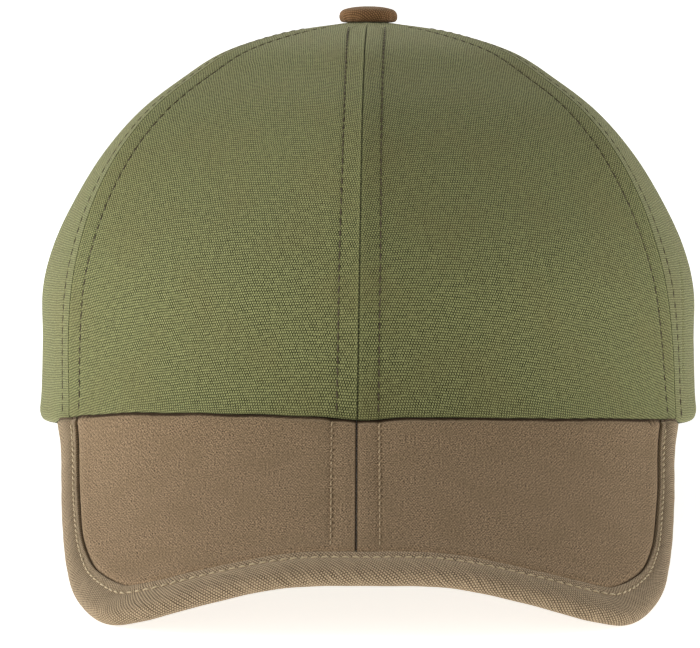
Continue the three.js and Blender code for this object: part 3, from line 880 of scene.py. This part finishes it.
def seam_out(across):
    """How far out the crown's seam lies on the flat cut."""
    return -hem_depth(across) * math.cos(PEAK_SLOPE) - hem_height(across) * math.sin(PEAK_SLOPE)


def bent_across(flat):
    """How far across the cap a place of the flat cut comes to lie."""
    return np.sign(flat) * np.interp(np.abs(flat), bend_lengths, bend_across)


def beyond_hem(flat):
    """Distance of points of the flat cut from the crown's seam, out along the peak."""
    return flat[..., 1] - seam_out(bent_across(flat[..., 0]))


def bend_peak(flat, out, depth):
    """Points of the flat cut in their places on the cap; depth is the height over the top face."""
    x = bent_across(flat)
    down = out - seam_out(x)
    slope = (bend_height(x + SLOPE_STEP) - bend_height(x - SLOPE_STEP)) / (2 * SLOPE_STEP)
    scale = depth / np.hypot(1, slope)
    waves = hem_wave(x) * np.clip(1 - np.maximum(down, 0) / WAVE_REACH, 0, 1) ** 2
    y = hem_depth(x) - down * math.cos(PEAK_SLOPE) - scale * math.sin(PEAK_SLOPE)
    z = hem_height(x) + waves - down * math.sin(PEAK_SLOPE) + scale * math.cos(PEAK_SLOPE)
    return np.stack([x - slope * scale, y, z], axis=-1)


print("half of the peak's bend is", round(bend_lengths[-1], 1), "mm long")

# %% Outline of the peak
PEAK_OUTLINE = [
    (0, 145.1), (20, 143.9), (42, 144.0), (56.5, 142.2), (67.4, 136.8),
    (77.1, 120.6), (81.6, 103.2), (85.1, 78.3), (87.85, 50.0), (92.0, 31.0),
]
outline_points = np.array([(-x, out) for x, out in PEAK_OUTLINE[::-1]] + PEAK_OUTLINE[1:])


def through_points(points, steps=40):
    """A centripetal Catmull-Rom curve through points."""
    ends = np.vstack([2 * points[0] - points[1], points, 2 * points[-1] - points[-2]])
    knots = np.linalg.norm(np.diff(ends, axis=0), axis=1) ** 0.5
    curve = []
    for index in range(len(points) - 1):
        p0, p1, p2, p3 = ends[index : index + 4]
        t0, t1, t2 = knots[index : index + 3]
        leave = ((p1 - p0) / t0 - (p2 - p0) / (t0 + t1) + (p2 - p1) / t1) * t1
        arrive = ((p2 - p1) / t1 - (p3 - p1) / (t1 + t2) + (p3 - p2) / t2) * t1
        t = np.linspace(0, 1, steps, endpoint=False)[:, None]
        curve.append((2 * t**3 - 3 * t**2 + 1) * p1 + (t**3 - 2 * t**2 + t) * leave
                     + (3 * t**2 - 2 * t**3) * p2 + (t**3 - t**2) * arrive)
    return np.vstack([*curve, points[-1:]])


outline = through_points(outline_points)
outline_lengths = lengths_along(outline)
outline_tangents = unit(np.gradient(outline, outline_lengths, axis=0))
OUTLINE_LENGTH = outline_lengths[-1]
print("outline of the peak", round(OUTLINE_LENGTH, 1), "mm")


def outline_at(length, inward):
    """Points on the flat cut, some way along the outline and in from it."""
    x, out, right, ahead = (
        np.interp(length, outline_lengths, values)
        for values in (*outline.T, *outline_tangents.T)
    )
    return np.stack([x + ahead * inward, out - right * inward], axis=-1)


# %% Width of the binding
# Widths: of its section as listed, at both sides, round the lobes and in front.
# It widens between two distances from its ends and narrows a little between two others.
BINDING_WIDTH = 9.7
BINDING_LEFT_WIDTH = 6.25
BINDING_RIGHT_WIDTH = 5.85
BINDING_LOBE_WIDTH = 11.4
BINDING_FRONT_WIDTH = 10.4
BINDING_LEFT_WIDENS = (64, 120)
BINDING_RIGHT_WIDENS = (66, 125)
BINDING_NARROWS = (124, 152)


def binding_width(length):
    """Width of the binding at a length along the outline."""
    from_end = np.minimum(length, OUTLINE_LENGTH - length)
    left, right = (
        side + (BINDING_LOBE_WIDTH - side) * smooth_step(from_end, *zone)
        for side, zone in (
            (BINDING_LEFT_WIDTH, BINDING_LEFT_WIDENS), (BINDING_RIGHT_WIDTH, BINDING_RIGHT_WIDENS))
    )
    narrower = (BINDING_LOBE_WIDTH - BINDING_FRONT_WIDTH) * smooth_step(from_end, *BINDING_NARROWS)
    return np.where(length < OUTLINE_LENGTH / 2, left, right) - narrower


def beside_binding(flat):
    """Distance from the binding's inner edge to points on the flat cut, less than 0 under it."""
    apart = flat[..., None, :] - outline[None, ::3]
    distance = np.sqrt((apart**2).sum(axis=-1))
    nearest = distance.argmin(axis=-1) * 3
    return distance.min(axis=-1) - binding_width(outline_lengths[nearest])


print("binding in front", round(float(binding_width(OUTLINE_LENGTH / 2)), 1), "mm wide")

# %% [markdown]
# ## The two halves of the peak
#
# Each half is a thin board with brushed canvas drawn round it, so its edges along the slit are
# round, and the slit is a dark line between two soft lips. A row of stitches runs down beside
# it on either side. The cloth lies a little unevenly on the board, which a few long waves
# show. The lines of the grid fan out from the slit to the tip.

# %% Halves of the peak
# Where the slit is, half of how far it opens, and the share of that by which it closes below
SLIT_ACROSS = -2.8
SLIT_HALF_GAP = 0.06
SLIT_CLOSED = 0.95
SLIT_ROLL = 0.35
PEAK_WALL = 2.0
PEAK_EDGE_INSET = 2.0
PEAK_END = 2.0
# The rows of stitches on both sides of the slit: how far from it, and how long a stitch
SLIT_ROW = {-1: 6.05, 1: 5.6}
SLIT_PITCH = 2.7
LIP = {"middle": 2.4, "width": 1.6}
LONG_WAVE = 0.1
SEWN_DEPTH = 0.45
SEWN_ZONE = (0.1, 1.8)
# Painted shade: a scale on the distance from the crown's hem, and how dark the slit and the hem's line are
# painted
HEM_SHADE = 0.9
SLIT_SHADE = 3.2
SLIT_SHADE_ZONE = (0.08, 0.42)
# Columns of points beside the slit, and rows beside the binding's inner edge, in mm from them
SLIT_ZONE = np.array([0, 0.12, 0.3, 0.6, 1.0, 1.5, 2.2, 3.0, 3.9, 4.7, 5.3, 5.9, 6.5, 7.2, 8.2, 9.4])
BINDING_ZONE = np.array([-4.0, -2.2, -1.2, -0.7, -0.4, -0.2, 0.0, 0.25, 0.6, 1.1, 1.8, 2.8, 4.0])
PEAK_STEP = 1.4
PEAK_ROWS = 44
LEAST_SHARE = 0.001
# More than 1 brings the rows closer together towards the hem
ROWS_CROWD = 1.4
FAN_ZONE = (6, 70)
# The cloth that is sewn into the crown: in from the crown's face, and up from its seam
TURNED_UP = [(2.8, 0.9), (2.9, 2.6), (2.9, 6.0)]
TURNED_UP_WALL = 1.3


def peak_relief(flat, out, from_slit, from_binding, from_hem, row):
    """Height of the peak's cloth over its board, in mm."""
    sewn_down = -SEWN_DEPTH * (1 - smooth_step(from_hem, *SEWN_ZONE))
    dip = ridge(from_slit, row, width=0.7, height=-0.22) * ripple(out, SLIT_PITCH, STITCH_PULL)
    lip = ridge(from_slit, height=0.18, **LIP)
    groove = ridge(from_binding, middle=0.1, width=0.45, height=-0.45)
    groove += ridge(from_binding, height=0.22, **LIP)
    long_waves = LONG_WAVE * np.sin(flat * 0.21 + out * 0.05 + 1) * np.sin(out * 0.17 - flat * 0.06)
    return dip + lip + groove + long_waves + sewn_down - rolled(from_slit, SLIT_ROLL)


def row_shares(rim, hem):
    """For each column from the outline to the hem, shares that are close beside the binding."""
    fine = np.linspace(0, 1, 120)[:, None, None]
    beside = beside_binding(rim[None] * (1 - fine) + hem[None] * fine)
    near = [np.interp(BINDING_ZONE, np.maximum.accumulate(column), fine[:, 0, 0]) for column in beside.T]
    near = np.array(near).T
    near[0] = np.maximum(near[0], LEAST_SHARE)
    rest = 1 - np.linspace(1, 0, PEAK_ROWS + 1)[1:, None] ** ROWS_CROWD
    shares = np.concatenate([0 * near[:1], near, near[-1:] + (1 - near[-1:]) * rest])
    return np.minimum(np.maximum.accumulate(shares, axis=0), 1)[..., None]


def turned_up(hem_x, back):
    """Rows of points that run up inside the crown, back from its face by some millimetres."""
    out_x, out_y = hem_x / HEM_SIDE**2, hem_depth(hem_x) / HEM_FRONT**2
    size = np.hypot(out_x, out_y)
    rows = []
    for inward, up in TURNED_UP:
        x = hem_x - out_x / size * (inward + back)
        y = hem_depth(hem_x) - out_y / size * (inward + back)
        rows.append(np.stack([x, y, hem_height(hem_x) + hem_wave(hem_x) + up], axis=-1))
    return np.array(rows)


def make_peak_half(name, side):
    """One half of the peak, from the slit to its tip."""
    slit_length = np.interp(SLIT_ACROSS, outline[:, 0], outline_lengths)
    reach = (OUTLINE_LENGTH - slit_length if side > 0 else slit_length) - PEAK_END
    even = np.arange(SLIT_ZONE[-1] + PEAK_STEP, reach - PEAK_STEP / 2, PEAK_STEP)
    run = np.concatenate([SLIT_ZONE, even, [reach]])
    slit = SLIT_ACROSS + side * SLIT_HALF_GAP
    tip = side * np.interp(TIP_ACROSS, bend_across, bend_lengths)
    hem_reach = abs(tip - slit)
    hem_run = run + (run * hem_reach / reach - run) * smooth_step(run, *FAN_ZONE)
    rim = outline_at(slit_length + side * run, PEAK_EDGE_INSET)
    near_slit = run < SLIT_ZONE[-1]
    rim[near_slit, 0] = slit + side * run[near_slit]
    hem_flat = slit + side * hem_run
    hem_x = bent_across(hem_flat)
    hem = np.stack([hem_flat, seam_out(hem_x) - PEAK_TUCK], axis=-1)
    shares = row_shares(rim, hem)
    flat = rim[None] * (1 - shares) + hem[None] * shares
    from_slit = np.abs(flat[..., 0] - slit)
    from_hem = beyond_hem(flat)
    from_binding = beside_binding(flat)
    relief = peak_relief(flat[..., 0], flat[..., 1], from_slit, from_binding, from_hem, SLIT_ROW[side])
    under = -PEAK_WALL + rolled(np.maximum(from_slit, 0.02), PEAK_WALL / 2)
    # Under the slit the two halves meet, so that no light comes up through it
    closed = flat[..., 0] - side * SLIT_CLOSED * SLIT_HALF_GAP * (1 - smooth_step(from_slit, 0, 0.3))
    outer = np.concatenate([bend_peak(flat[..., 0], flat[..., 1], relief), turned_up(hem_x, 0)])
    inner = np.concatenate([bend_peak(closed, flat[..., 1], under), turned_up(hem_x, TURNED_UP_WALL)])
    # Shade painted into the colour along the slit, under the crown's hem and in the groove beside the
    # binding, with a lighter rim beyond that is partly wear and partly a painted highlight
    edge = np.minimum(np.minimum(from_slit, from_hem * HEM_SHADE), np.abs(from_binding) - 0.15)
    deep = np.minimum(from_slit, np.maximum(from_hem, 0) * HEM_SHADE)
    line_shade = SLIT_SHADE * (1 - smooth_step(deep, *SLIT_SHADE_ZONE))
    flat, edge, line_shade = (
        np.concatenate([sheet, sheet[-1:].repeat(len(TURNED_UP), axis=0)]) for sheet in (flat, edge, line_shade))
    flat[-len(TURNED_UP):, :, 1] -= np.array([up for _, up in TURNED_UP])[:, None]
    if side < 0:
        outer, inner, flat, edge, line_shade = (sheet[:, ::-1] for sheet in (outer, inner, flat, edge, line_shade))
    piece = wall(name + "_cloth", outer, inner, flat, edge, peak_canvas, line_shade)
    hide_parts(name)


make_peak_half("peak_left", -1)
make_peak_half("peak_right", 1)

# %% Stitches beside the slit
peak_rows = []
for side in (-1, 1):
    flat = SLIT_ACROSS + side * (SLIT_HALF_GAP + SLIT_ROW[side])
    end = np.interp(flat, outline[:, 0], outline[:, 1]) - BINDING_FRONT_WIDTH
    out = np.linspace(seam_out(bent_across(flat)), end, 60)
    line = bend_peak(np.full_like(out, flat), out, np.zeros_like(out))
    above = bend_peak(np.full_like(out, flat), out, np.ones_like(out))
    peak_rows.append(along_line(line, above - line, SLIT_PITCH, length=1.8, lift=-0.03, start=0.6, end=0.6))
make_stitches("peak_stitching", peak_rows, taupe_thread, radius=0.2)

# %% [markdown]
# ## Binding
#
# The peak's edge is covered by a strip of canvas that is cut on the bias, at 45 degrees to its
# threads, because only then does it stretch round the corners without puckers. It is folded
# over the edge and sewn down near its inner edge, where it makes a low step. Its section is a
# list of points, swept along the outline. At both ends it goes under the crown's hem, where the
# seam presses it flat.

# %% Section of the binding
FOLD_CENTRE = 2.3
FOLD_RADIUS = 2.3
FOLD_INNER = 1.2
FOLD_INSIDE_HEIGHT = 1.06
FOLD_LEAST_CLOTH = 0.05
FOLD_FLAT_START = 2.9
BINDING_FACE = np.array([
    # in from the outline, height over the middle of the board
    (9.7, 0.3), (9.7, 0.8), (9.7, 1.1), (9.64, 1.3), (9.5, 1.42), (9.2, 1.5), (8.7, 1.56),
    (8.1, 1.58), (7.7, 1.56), (7.4, 1.54), (7.1, 1.58), (6.5, 1.78), (5.7, 2.0), (4.7, 2.18),
    (3.7, 2.28), (2.9, 2.3),
])
fold_turns = np.linspace(0, np.pi / 2, 8)
inward, upward = np.sin(fold_turns), np.cos(fold_turns)
quarter = np.stack([FOLD_CENTRE - FOLD_RADIUS * inward, FOLD_RADIUS * upward], axis=-1)
half_section = np.vstack([BINDING_FACE, quarter])
inner_face = np.minimum(BINDING_FACE - FOLD_LEAST_CLOTH, (np.inf, FOLD_INSIDE_HEIGHT))
inner_quarter = np.stack([FOLD_CENTRE - FOLD_INNER * inward, FOLD_INSIDE_HEIGHT * upward**0.6], axis=-1)
inner_half = np.vstack([inner_face, inner_quarter])


def both_sides(half):
    """A section from under the peak's edge, round it, to the top."""
    under = half * (1, -1)
    return np.vstack([under, half[-2::-1]])


outer_section, inner_section = both_sides(half_section), both_sides(inner_half)
section_lengths = lengths_along(outer_section)
print("binding section", len(outer_section), "points,", round(section_lengths[-1], 1), "mm round")

# %% Binding swept round the peak
BINDING_END = 0.6
BINDING_END_SLANT = 1.7
BINDING_STEPS = 320
# The row of stitches: how far in from the outline and how high over the middle of the board
BINDING_ROW = 7.4
BINDING_ROW_SEAT = 1.5
BINDING_ROW_DIP = {"width": 0.8, "height": -0.12}
BINDING_PITCH = 2.5
BINDING_PULL = 2 / 3
BINDING_LUMP = 0.06
# Where the crown's seam presses the binding, it keeps this share of its height, less a little
PRESSED_SHARE = 0.45
PRESSED_DOWN = 0.1


def narrowed(inward, width):
    """A section's distances from the outline, where the binding has another width."""
    share = (width - FOLD_FLAT_START) / (BINDING_WIDTH - FOLD_FLAT_START)
    return inward + (share - 1) * np.maximum(inward - FOLD_FLAT_START, 0)


def binding_sheet(section, puff):
    """Points of the binding for one side of its section, from the left end to the right one."""
    inward, over = section[:, 0][:, None], section[:, 1][:, None]
    start = BINDING_END + narrowed(inward, BINDING_LEFT_WIDTH) * BINDING_END_SLANT
    end = BINDING_END + narrowed(inward, BINDING_RIGHT_WIDTH) * BINDING_END_SLANT
    along = np.linspace(0, 1, BINDING_STEPS)[None]
    length = start + (OUTLINE_LENGTH - start - end) * along
    dip = ridge(inward, BINDING_ROW, **BINDING_ROW_DIP) * ripple(length, BINDING_PITCH, BINDING_PULL)
    lumps = BINDING_LUMP * np.sin(length * 0.45) * np.sin(length * 0.17 + 2)
    lifted = over + np.sign(over) * puff * (lumps + dip)
    flat = outline_at(length, narrowed(inward, binding_width(length)))
    from_hem = beyond_hem(flat)
    loss = (1 - PRESSED_SHARE) * lifted + PRESSED_DOWN
    pressed = lifted - loss * (1 - smooth_step(from_hem, *SEWN_ZONE))
    return bend_peak(flat[..., 0], flat[..., 1], pressed - PEAK_WALL / 2), length, from_hem


binding_outer, binding_length, binding_from_hem = binding_sheet(outer_section, 1.0)
binding_inner, _, _ = binding_sheet(inner_section, 0.0)
round_edge = section_lengths[:, None] + 0 * binding_length
bias = np.stack([binding_length - round_edge, -binding_length - round_edge], axis=-1) / math.sqrt(2)
# Distance to the binding's edges and to the crown's hem: shade is painted on the step at its inner edge and
# under the hem, and a lighter rim beside it is partly wear and partly a painted highlight
fold_edge = np.minimum(round_edge, section_lengths[-1] - round_edge) + 0.12
fold_edge = np.minimum(fold_edge, np.maximum(binding_from_hem, 0) * HEM_SHADE)
binding = wall("peak_binding_cloth", binding_outer, binding_inner, bias, fold_edge, binding_canvas)
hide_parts("peak_binding")

# %% Stitches of the binding
BINDING_ROW_END = BINDING_END + 14

binding_rows = []
for face in (1, -1):
    length = np.linspace(BINDING_ROW_END, OUTLINE_LENGTH - BINDING_ROW_END, 900)
    flat = outline_at(length, narrowed(BINDING_ROW, binding_width(length)))
    seat = face * BINDING_ROW_SEAT - PEAK_WALL / 2
    line = bend_peak(flat[:, 0], flat[:, 1], seat + 0 * length)
    beyond = bend_peak(flat[:, 0], flat[:, 1], seat + face + 0 * length)
    binding_rows.append(along_line(line, beyond - line, BINDING_PITCH, length=1.9, lift=0.06))
make_stitches("binding_stitching", binding_rows, tan_thread, radius=0.23)

# %% [markdown]
# ## Button
#
# A covered button is a shallow metal dome with a disc of cloth gathered over it and pinned
# behind, so its top is smooth, its rim is round and a little cloth is tucked under it. It is a
# shape of one section turned about its axis, which bmesh's spin could make, but with NumPy the
# cloth's own lengths from the middle come along with the points.

# %% Covered button
BUTTON_SEAT = 107.4
BUTTON_SIDES = 120
BUTTON_RINGS = 65
BUTTON_GATHERS = 17
GATHER_DEPTH = 0.012
GATHER_ZONE = (7.5, 10)
BUTTON_GRAIN = math.radians(38)
BUTTON_SECTION = np.array([
    # out from the axis, height over the seat
    (0.02, -4.0), (1.4, -4.0), (1.4, -0.3), (5.2, -0.35), (6.5, -0.5), (7.15, -0.35),
    (7.55, 0.1), (7.72, 0.7), (7.75, 1.3), (7.62, 1.9), (7.28, 2.45), (6.7, 2.88),
    (5.8, 3.2), (4.6, 3.47), (3.2, 3.67), (1.6, 3.77), (0.02, 3.8),
]) + (0, BUTTON_SEAT)

steps = np.linspace(0, len(BUTTON_SECTION) - 1, BUTTON_RINGS)
section = np.stack([np.interp(steps, np.arange(len(BUTTON_SECTION)), BUTTON_SECTION[:, axis])
                    for axis in (0, 1)], axis=-1)
lengths = lengths_along(section)
from_middle = (lengths[-1] - lengths)[:, None]
turns = np.arange(BUTTON_SIDES) / BUTTON_SIDES * 2 * np.pi
gathers = 1 + GATHER_DEPTH * np.cos(turns * BUTTON_GATHERS) * smooth_step(from_middle, *GATHER_ZONE)
radii = section[:, :1] * gathers
heights = section[:, 1:] + 0 * turns
button_points = np.stack([radii * np.cos(turns), radii * np.sin(turns), heights], axis=-1)
number = np.arange(radii.size).reshape(radii.shape)
grain = turns + BUTTON_GRAIN
cloth = np.stack([from_middle * np.cos(grain), from_middle * np.sin(grain), 0 * radii], axis=-1)
button = make_piece("top_button_cloth", button_points.reshape(-1, 3), tube_faces(number),
                    cloth.reshape(-1, 3), np.full(radii.shape, FAR_FROM_EDGE), button_canvas)
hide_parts("top_button")
